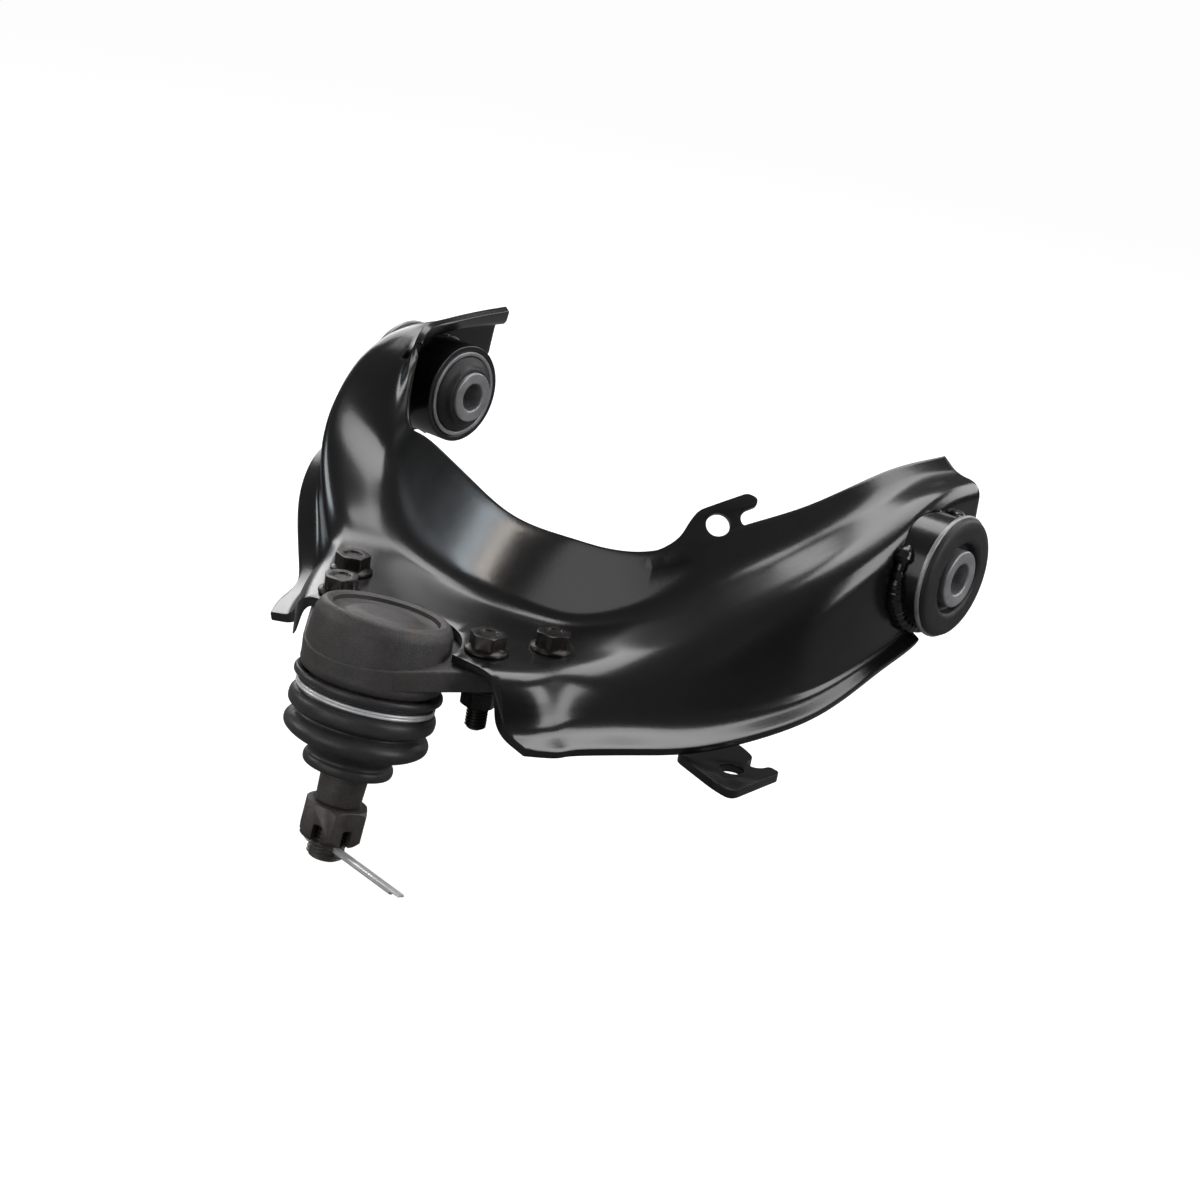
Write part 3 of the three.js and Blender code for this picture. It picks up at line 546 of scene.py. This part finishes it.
def makeBush(end, matrix):
    s = bushShape
    tubeLow = -s["length"] + s["setback"]
    face = s["flangeFace"]
    tube = lathe(end + "Tube", rounded([
        (s["tubeBore"], tubeLow), (s["tubeR"], tubeLow), (s["tubeR"], face - 2.1),
        (s["tubeBore"], face - 2.1)], 0.6),
        matrix)
    finishPiece(tube, "arm_paint", end + "_tube")
    outer = lathe(end + "OuterSleeve", rounded([
        (s["sleeveBore"], tubeLow - 0.5), (s["sleeveR"], tubeLow - 0.5), (s["sleeveR"], face - 1.8),
        (s["flangeR"], face - 1.8, 0.7), (s["flangeR"], face, 0.7), (s["sleeveBore"], face)], 0.45), matrix)
    finishPiece(outer, "sleeve_steel", end + "_outer_sleeve")
    rubber = lathe(end + "Rubber", rounded([
        (11.05, -s["length"] + 1.4), (12.8, -s["length"] + 1.6, 0.8), (13.6, -s["length"] + 3.4, 1.2),
        (16.9, tubeLow - 0.7, 0.8), (17.1, tubeLow + 1.2), (17.1, face + 0.05), (23.2, face + 0.05, 0.3),
        (22.6, -1.5, 1.4), (20.4, -0.8, 1.6), (15.4, -0.55, 1.6), (13.9, -1.4, 0.9), (13.4, -4.4, 0.9),
        (11.05, -4.6, 0.4)], 0.3, 5), matrix, 128)
    finishPiece(rubber, "bush_rubber", end + "_rubber")
    inner = lathe(end + "InnerSleeve", rounded([
        (s["boreR"], -s["length"], 0.9), (s["innerR"], -s["length"], 0.7), (s["innerR"], 0, 0.7),
        (s["boreR"], 0, 0.9)],
        0.7), matrix, 128)
    finishPiece(inner, "sleeve_steel", end + "_inner_sleeve", body=end + "_sleeve")


makeBush("rear", shift(124.25, 0, 0) @ Matrix.Rotation(math.pi / 2, 4, "Y"))
makeBush("front", shift(-170.25, 0, 0) @ Matrix.Rotation(-math.pi / 2, 4, "Y"))
print("bushes made")


def weldBead(name, center, radius, start, end, width=2.0, pitch=2.1):
    # Overlapping ripples of weld metal round a tube, along +X or -X of its wall.
    count = int(abs(end - start) / 360 * 2 * math.pi * radius / 0.45)
    path, sizes = [], []
    rng = np.random.default_rng(7)
    wave = rng.normal(0, 0.16, count)
    wave = np.convolve(wave, np.ones(9) / 9, "same") * 3
    for k in range(count + 1):
        a = math.radians(start + (end - start) * k / count)
        path.append((center[0], center[1] + radius * math.cos(a), center[2] + radius * math.sin(a)))
        travelled = abs(end - start) / 360 * 2 * math.pi * radius * k / count
        ripple = 0.5 + 0.5 * abs(math.sin(math.pi * travelled / pitch))
        taper = min(1, (k + 2) / 8, (count - k + 2) / 8)
        sizes.append(width * (0.82 + 0.18 * ripple + (wave[min(k, count - 1)])) * taper)
    bead = sweep(name, path, 1.0, 14)
    points = bead.data.vertices
    order = np.array([v.co for v in points]) / mm
    centres = np.array(path)
    nearest = np.linalg.norm(order[:, None] - centres[None], axis=2).argmin(1)
    for vertex, at, n in zip(points, order, nearest):
        vertex.co = Vector(centres[n] + (at - centres[n]) * sizes[n]) * mm
    finishPiece(smooth(clean(bead), 60), "arm_paint")
    return bead


weldBead("rearWeld", (110.6, 0, 0), 22.4, -212, 62, 3.5, 3.4)
weldBead("frontWeldInside", (-150.6, 0, 0), 22.2, 100, -95, 2.0)
weldBead("frontWeldOutside", (-156.4, 0, 0), 22.2, 100, 292)
print("welds made")

# ---- ball joint housing ----
housingShape = {"radius": 26.2, "flangeTop": -43.8, "flangeThick": 8.3, "cornerR": 9.5}


def outlineRound(circles):
    turns = []
    for i, (x, y, r) in enumerate(circles):
        nx, ny, nr = circles[(i + 1) % len(circles)]
        away = math.hypot(nx - x, ny - y)
        turns.append(math.atan2(ny - y, nx - x) - math.acos((r - nr) / away))
    outline = []
    for i, (x, y, r) in enumerate(circles):
        start, end = math.degrees(turns[i - 1]), math.degrees(turns[i])
        while end < start:
            end += 360
        outline += circle(x, y, r, start, end, 24)
    return outline


housing = lathe("ballHousing", rounded([
    (0, -35), (22, -35, 0.6), (22, -25.8, 0.4), (25.2, -25.5, 0.6), (26.3, -23.4, 1.4), (26.1, -12, 4),
    (25.3, -3.8, 2.4), (23.7, -1, 1.6), (22.2, 0, 1.2), (20.9, -0.3, 0.7), (18.9, -1.3, 0.4), (0, -1.3)], 0.4, 5,
    closed=False), ballFrame, 128, closed=False)
flangeLow = housingShape["flangeTop"] - housingShape["flangeThick"]
flange = prism("flange", outlineRound(
    [(ballX, axisY(housingShape["flangeTop"]), housingShape["radius"] + 1)]
    + [(*boltPlaces[i], housingShape["cornerR"]) for i in (3, 2, 1, 0)]), flangeLow, housingShape["flangeTop"])
bevel(flange, 0.9, 3)
combine(housing, flange, "UNION")
cavity = lathe("cavity", [(0, -36), (17.6, -36), (13.2, -28.8), (17.3, -28.4), (17.3, -6), (19.8, -6), (19.8, 2),
                          (0, 2)], ballFrame, 96, closed=False)
combine(housing, cavity, "DIFFERENCE")
for x, y in boltPlaces:
    combine(housing, drill("boltHole", 4.3, -60, -40, shift(x, y, 0)), "DIFFERENCE")
clean(housing, 0.02)
smooth(housing, 32)
finishPiece(housing, "housing_phosphate", "ball_joint_housing")

cover = lathe("housingCover", rounded([
    (0, -5), (19.6, -5), (19.6, -1.9, 0.8), (17.6, -2.8, 1.2), (14.4, -3, 1.2), (12.4, -2, 1.2), (10.2, -1.1, 1.8),
    (5.5, -0.85, 2), (0, -0.75)], 0.4, 6, closed=False), ballFrame, 128, closed=False)
finishPiece(cover, "housing_phosphate", "housing_cover")
print("housing made")

# ---- dust boot, in two halves that meet in its groove ----
bootShape = {"split": -41.4, "wall": 2.0}
bootOuter = [(24.7, -26.3), (26.6, -26.1), (27.3, -27.0), (27.2, -28.4), (26.0, -29.2), (25.0, -29.7),
             (24.7, -31.5), (24.9, -33.4), (25.9, -34.1), (26.8, -35.3), (27.1, -37.1), (26.8, -38.9),
             (25.5, -40.1), (23.6, -40.8),
             (23.1, -41.4), (23.5, -42.2), (25.2, -43.4), (26.4, -44.9), (26.7, -46.5), (26.0, -48.2),
             (23.6, -50.0), (20.2, -51.6), (17.2, -53.2), (15.6, -54.8), (15.5, -56.0), (16.4, -57.0),
             (16.7, -58.4),
             (16.4, -59.8), (15.4, -60.4), (13.2, -60.4)]


def bootHalf(name, first, last):
    values = np.array(bootOuter, float)
    line = []
    for t in np.linspace(0, len(values) - 1, 150):
        line.append(throughPoints(values, t))
    line = np.array(line)
    line = line[(line[:, 1] <= first + 1e-6) & (line[:, 1] >= last - 1e-6)]
    tangent = np.gradient(line, axis=0)
    inward = np.stack([tangent[:, 1], -tangent[:, 0]], 1)
    inward /= np.linalg.norm(inward, axis=1)[:, None]
    inner = line + inward * bootShape["wall"]
    inner[:, 0] = np.maximum(np.minimum(inner[:, 0], line[:, 0] - 0.7), 11.5)
    profile = [tuple(p) for p in line] + [tuple(p) for p in inner[::-1]]
    return lathe(name, profile, ballFrame, 128)


bootUpper = bootHalf("bootUpper", 0, bootShape["split"])
finishPiece(bootUpper, "boot_rubber", "dust_boot", body=None)
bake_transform(bootUpper)
bootLower = bootHalf("bootLower", bootShape["split"], -70)
finishPiece(bootLower, "boot_rubber", "dust_boot", body=None)
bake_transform(bootLower)

clipPath = []
for k in range(int(2.35 * 120) + 1):  # a spring of a little over two turns
    a = 2 * math.pi * k / 120
    clipPath.append((25.15 * math.cos(a + 0.6), 25.15 * math.sin(a + 0.6), -30.5 - 1.12 * k / 120))
clip = sweep("bootClip", clipPath, 0.56, 12, matrix=ballFrame)
finishPiece(clip, "zinc", "boot_clip")
seatRing = lathe("bootSeatRing", rounded([(9.5, -60), (11.1, -60), (11.1, -56.2), (9.5, -56.2)], 0.3), ballFrame)
finishPiece(seatRing, "stud_steel", "boot_seat_ring", body="boot_ring")
print("boot made")

# ---- ball stud, castle nut and cotter pin ----
studShape = {"thread": 6.9, "pitch": 1.5, "nutTop": -73.9, "nutHeight": 13.6, "end": -95.3, "pin": -90.2,
             "acrossFlats": 22.0, "nutTurn": 15, "pinTurn": -11}
shank = lathe("studShank", rounded([
    (0, -74.4), (7.6, -74.4), (8.4, -73.1, 0.5), (9.2, -56), (7.4, -53, 1.5), (7.4, -29.7),
    (5, -30.9), (2.5, -31.6), (0, -31.85)], 0.1,
    closed=False), ballFrame, 96, closed=False)
thread = threaded("studThread", studShape["thread"], studShape["pitch"], 0.85, studShape["end"], -74.2,
                  ballFrame, 72)
pinHole = drill("pinHole", 1.8, -20, 20, ballFrame @ shift(0, 0, studShape["pin"]) @ Matrix.Rotation(
    math.radians(studShape["pinTurn"]), 4, "Z") @ turnX, 32)
combine(thread, pinHole, "DIFFERENCE")
finishPiece(shank, "stud_steel", "stud_shank", body="stud")
finishPiece(smooth(clean(thread), 45), "stud_steel", body="stud")


def hexOutline(acrossFlats):
    corner = acrossFlats / math.sqrt(3)
    return rounded([(corner * math.cos(k * math.pi / 3), corner * math.sin(k * math.pi / 3)) for k in range(6)],
                   acrossFlats * 0.035, 4)


def makeCastleNut():
    s = studShape
    low = s["nutTop"] - s["nutHeight"]
    nut = prism("castleNut", hexOutline(s["acrossFlats"]), low, s["nutTop"])
    cone = lathe("cone", [(0, low - 1), (9.7, low - 1), (12.3, low + 1.8), (13.4, low + 2.9),
                          (13.4, s["nutTop"] - 2.2), (12.2, s["nutTop"] - 1.1),
                          (10.6, s["nutTop"] + 0.6), (0, s["nutTop"] + 0.6)],
                 Matrix.Identity(4), 96, closed=False)
    combine(nut, cone, "INTERSECT")
    combine(nut, drill("bore", 7.15, -100, -60, Matrix.Identity(4)), "DIFFERENCE")
    for k in range(3):
        slotProfile = rounded([(-2, low - 7.6), (2, low - 7.6), (2, low + 6.6, 1.2),
                               (-2, low + 6.6, 1.2)], 0.05, 6)
        turn = Matrix.Rotation(k * math.pi / 3, 4, "Z") @ Matrix.Rotation(math.pi / 2, 4, "X")
        combine(nut, prism("slot", slotProfile, -20, 20, turn), "DIFFERENCE")
    clean(nut, 0.01)
    bevel(nut, 0.35, 2, 45)
    place(nut, ballFrame @ Matrix.Rotation(math.radians(s["nutTurn"]), 4, "Z"))
    return smooth(nut, 35)


finishPiece(makeCastleNut(), "nut_dark", "castle_nut", body="stud")

pinMatrix = ballFrame @ shift(0, 0, studShape["pin"]) @ Matrix.Rotation(math.radians(studShape["pinTurn"]), 4, "Z")
pinLegs = {"reach": 47.1, "radius": 1.42}


def pinLeg(name, side, reach):
    # half-round wire: flat faces meet in the middle of the pin
    half = [(0, 0.04)] + [(math.cos(a) * pinLegs["radius"], 0.04 + math.sin(a) * pinLegs["radius"])
                          for a in np.linspace(0, math.pi, 15)]
    outline = [(y, z * side) for y, z in half[1:]]
    leg = prism(name, outline if side > 0 else outline[::-1], -8.2, reach, drawnInYZ)
    bevel(leg, 0.25, 2, 50)
    return smooth(place(leg, pinMatrix), 40)


pinUpper = pinLeg("cotterPinUpper", 1, pinLegs["reach"])
finishPiece(pinUpper, "zinc", "cotter_pin", body="stud")
finishPiece(pinLeg("cotterPinLower", -1, pinLegs["reach"] - 5.5), "zinc", body="stud")
eyePath = [(-7.4 - 3.6 + 3.3 * math.cos(a), 0, 2.7 * math.sin(a))
           for a in np.linspace(0.35, 2 * math.pi - 0.35, 40)]
eye = sweep("cotterPinEye", eyePath, 1.05, 12, matrix=pinMatrix)
finishPiece(eye, "zinc", body="stud")
print("stud made")


# ---- flange bolts and nuts ----
boltShape = {"acrossFlats": 12.0, "head": 7.0, "flangeR": 8.2, "thread": 4.0, "pitch": 1.25, "reach": 29.8,
             "nut": 8.0}


def flangedHex(name, height, dome, bore):
    s = boltShape
    body = lathe(name, rounded([
        (0, 0.05), (s["flangeR"], 0.05, 0.3), (s["flangeR"], 1.1, 0.5), (6.6, 1.9, 0.8),
        (5.9, 2.6, 0.3), (0, 2.6)], 0.3, closed=False), Matrix.Identity(4), 64, closed=False)
    block = prism("block", hexOutline(s["acrossFlats"]), 1.2, height)
    cone = lathe("cone", rounded([(0, 0.2), (9, 0.2), (9, height - 1.6), (6.2, height), (5.2, height + 0.02),
                                  (0, height + 0.02)], 0.3, closed=False), Matrix.Identity(4), 64, closed=False)
    combine(block, cone, "INTERSECT")
    combine(body, block, "UNION")
    if dome:
        dish = lathe("dish", [(0, height - 0.7), (3.2, height - 0.6), (4.1, height + 1), (0, height + 1)],
                     Matrix.Identity(4), 48, closed=False)
        combine(body, dish, "DIFFERENCE")
    if bore:
        combine(body, drill("bore", bore, -2, height + 2, Matrix.Identity(4), 48), "DIFFERENCE")
    clean(body, 0.01)
    bevel(body, 0.22, 2, 50)
    return smooth(body, 35)


for index, (x, y) in enumerate(boltPlaces):
    number = index + 1
    turn = Matrix.Rotation(math.radians(17 + 23 * index), 4, "Z")
    head = flangedHex(f"flangeBolt{number}", boltShape["head"], True, None)
    place(head, shift(x, y, plateZ + 0.15) @ turn)
    finishPiece(head, "bolt_dark", f"flange_bolt_{number}")
    rod = threaded(f"boltThread{number}", boltShape["thread"], boltShape["pitch"], 0.62, -boltShape["reach"], 0.4,
                   shift(x, y, plateZ) @ turn, 48)
    finishPiece(rod, "bolt_dark")
    nut = flangedHex(f"flangeNut{number}", boltShape["nut"], False, 4.15)
    flip = Matrix.Rotation(math.pi, 4, "X")
    place(nut, shift(x, y, flangeLow - 0.3) @ Matrix.Rotation(math.radians(40 + 23 * index), 4, "Z") @ flip)
    finishPiece(nut, "bolt_dark", f"flange_nut_{number}")
print("bolts made")

for name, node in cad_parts.items():
    if name in ("ball_seat", "stud_ball"):
        slotName = "liner_plastic" if name == "ball_seat" else "stud_steel"
        node.data.materials.clear()
        node.data.materials.append(materials[slotName])

# ---- floor, light and camera ----
floorMaterial, floorNodes, floorLinks, floorShader = newMaterial("floorPale")
floorCoords = floorNodes.new("ShaderNodeTexCoord").outputs["Object"]
floorTone = rampNode(floorNodes, floorLinks, noiseNode(floorNodes, floorLinks, floorCoords, 3.0).outputs[0],
                     [(0.3, (0.3, 0.3, 0.3)), (0.7, (0.32, 0.32, 0.32))])
floorLinks.new(floorTone.outputs[0], floorShader.inputs["Base Color"])
floorShader.inputs["Roughness"].default_value = 0.7
# seen directly the floor is bright; what it throws back onto the part is dim, as in a dark studio
floorOutput = floorNodes["Material Output"]
floorShader.inputs["Emission Color"].default_value = (1, 1, 1, 1)
floorShader.inputs["Emission Strength"].default_value = 0.93
dimFloor = floorNodes.new("ShaderNodeBsdfDiffuse")
dimFloor.inputs["Color"].default_value = (0.16, 0.16, 0.165, 1)
floorMix = floorNodes.new("ShaderNodeMixShader")
floorLinks.new(floorNodes.new("ShaderNodeLightPath").outputs["Is Camera Ray"], floorMix.inputs[0])
floorLinks.new(dimFloor.outputs[0], floorMix.inputs[1])
floorLinks.new(floorShader.outputs[0], floorMix.inputs[2])
floorLinks.new(floorMix.outputs[0], floorOutput.inputs[0])
floorHalf, floorLevel = 60000, -129
floorCorners = [(x * floorHalf, y * floorHalf, floorLevel) for x, y in ((-1, -1), (1, -1), (1, 1), (-1, 1))]
floor = makeMesh("floor", floorCorners, [(0, 1, 2, 3)])
floor.data.materials.append(floorMaterial)

world = bpy.data.worlds.new("studio")
world.use_nodes = True
worldNodes, worldLinks = world.node_tree.nodes, world.node_tree.links
sky = worldNodes["Background"]
height = worldNodes.new("ShaderNodeSeparateXYZ")
worldLinks.new(worldNodes.new("ShaderNodeTexCoord").outputs["Generated"], height.inputs[0])
skyTone = rampNode(worldNodes, worldLinks, height.outputs["Z"],
                   [(0.0, (0.05,)), (0.25, (0.07,)), (0.6, (0.12,)), (1.0, (0.17,))])
bright = worldNodes.new("ShaderNodeBackground")
bright.inputs[0].default_value = (1, 1, 1, 1)
worldMix = worldNodes.new("ShaderNodeMixShader")
worldLinks.new(skyTone.outputs[0], sky.inputs[0])
worldLinks.new(worldNodes.new("ShaderNodeLightPath").outputs["Is Camera Ray"], worldMix.inputs[0])
worldLinks.new(sky.outputs[0], worldMix.inputs[1])
worldLinks.new(bright.outputs[0], worldMix.inputs[2])
worldLinks.new(worldMix.outputs[0], worldNodes["World Output"].inputs[0])
bpy.context.scene.world = world


def softbox(name, location, target, size, power, tint=(1, 1, 1)):
    light = bpy.data.lights.new(name, "AREA")
    light.shape = "RECTANGLE"
    light.size, light.size_y = size
    light.energy = power
    light.color = tint
    lamp = bpy.data.objects.new(name, light)
    lamp.location = location
    lamp.rotation_euler = (Vector(target) - Vector(location)).to_track_quat("-Z", "Y").to_euler()
    bpy.context.scene.collection.objects.link(lamp)
    return lamp


softbox("keyTop", (-0.15, 0.35, 1.0), (-0.02, -0.06, -0.02), (1.0, 0.6), 8)
softbox("backLeft", (-0.95, 0.45, 0.45), (-0.05, -0.05, 0), (0.5, 0.9), 4)
softbox("rightSide", (1.0, 0.2, 0.45), (0.03, -0.05, 0), (0.4, 0.8), 5)
softbox("leftCool", (-0.88, -0.5, 0.36), (-0.02, -0.1, -0.03), (0.14, 0.3), 0.9, (0.8, 0.92, 1.0))
softbox("leftWarm", (-0.8, -0.66, 0.34), (-0.02, -0.12, -0.05), (0.16, 0.35), 1.4, (1.0, 0.92, 0.84))
softbox("frontFill", (0.0, -1.25, 0.32), (0, -0.14, -0.08), (1.0, 1.0), 4.2)
softbox("backFill", (0.45, 1.05, 0.5), (0, -0.03, -0.02), (0.9, 0.6), 5)

cameraShape = {"place": (0.45887, -0.68371, 0.22897), "right": (0.76479, 0.62424, 0.15944),
               "up": (-0.3269, 0.16272, 0.93095), "back": (0.55519, -0.7641, 0.32851), "lens": 63.0}
cameraData = bpy.data.cameras.new("camera")
cameraData.lens = cameraShape["lens"]
cameraData.sensor_width = 36
cameraData.clip_start = 0.02
camera = bpy.data.objects.new("camera", cameraData)
axes = Matrix((cameraShape["right"], cameraShape["up"], cameraShape["back"])).transposed()
camera.matrix_world = Matrix.Translation(cameraShape["place"]) @ axes.to_4x4()
bpy.context.scene.collection.objects.link(camera)
bpy.context.scene.camera = camera
bpy.context.scene.view_settings.view_transform = "Standard"
print("stage made")
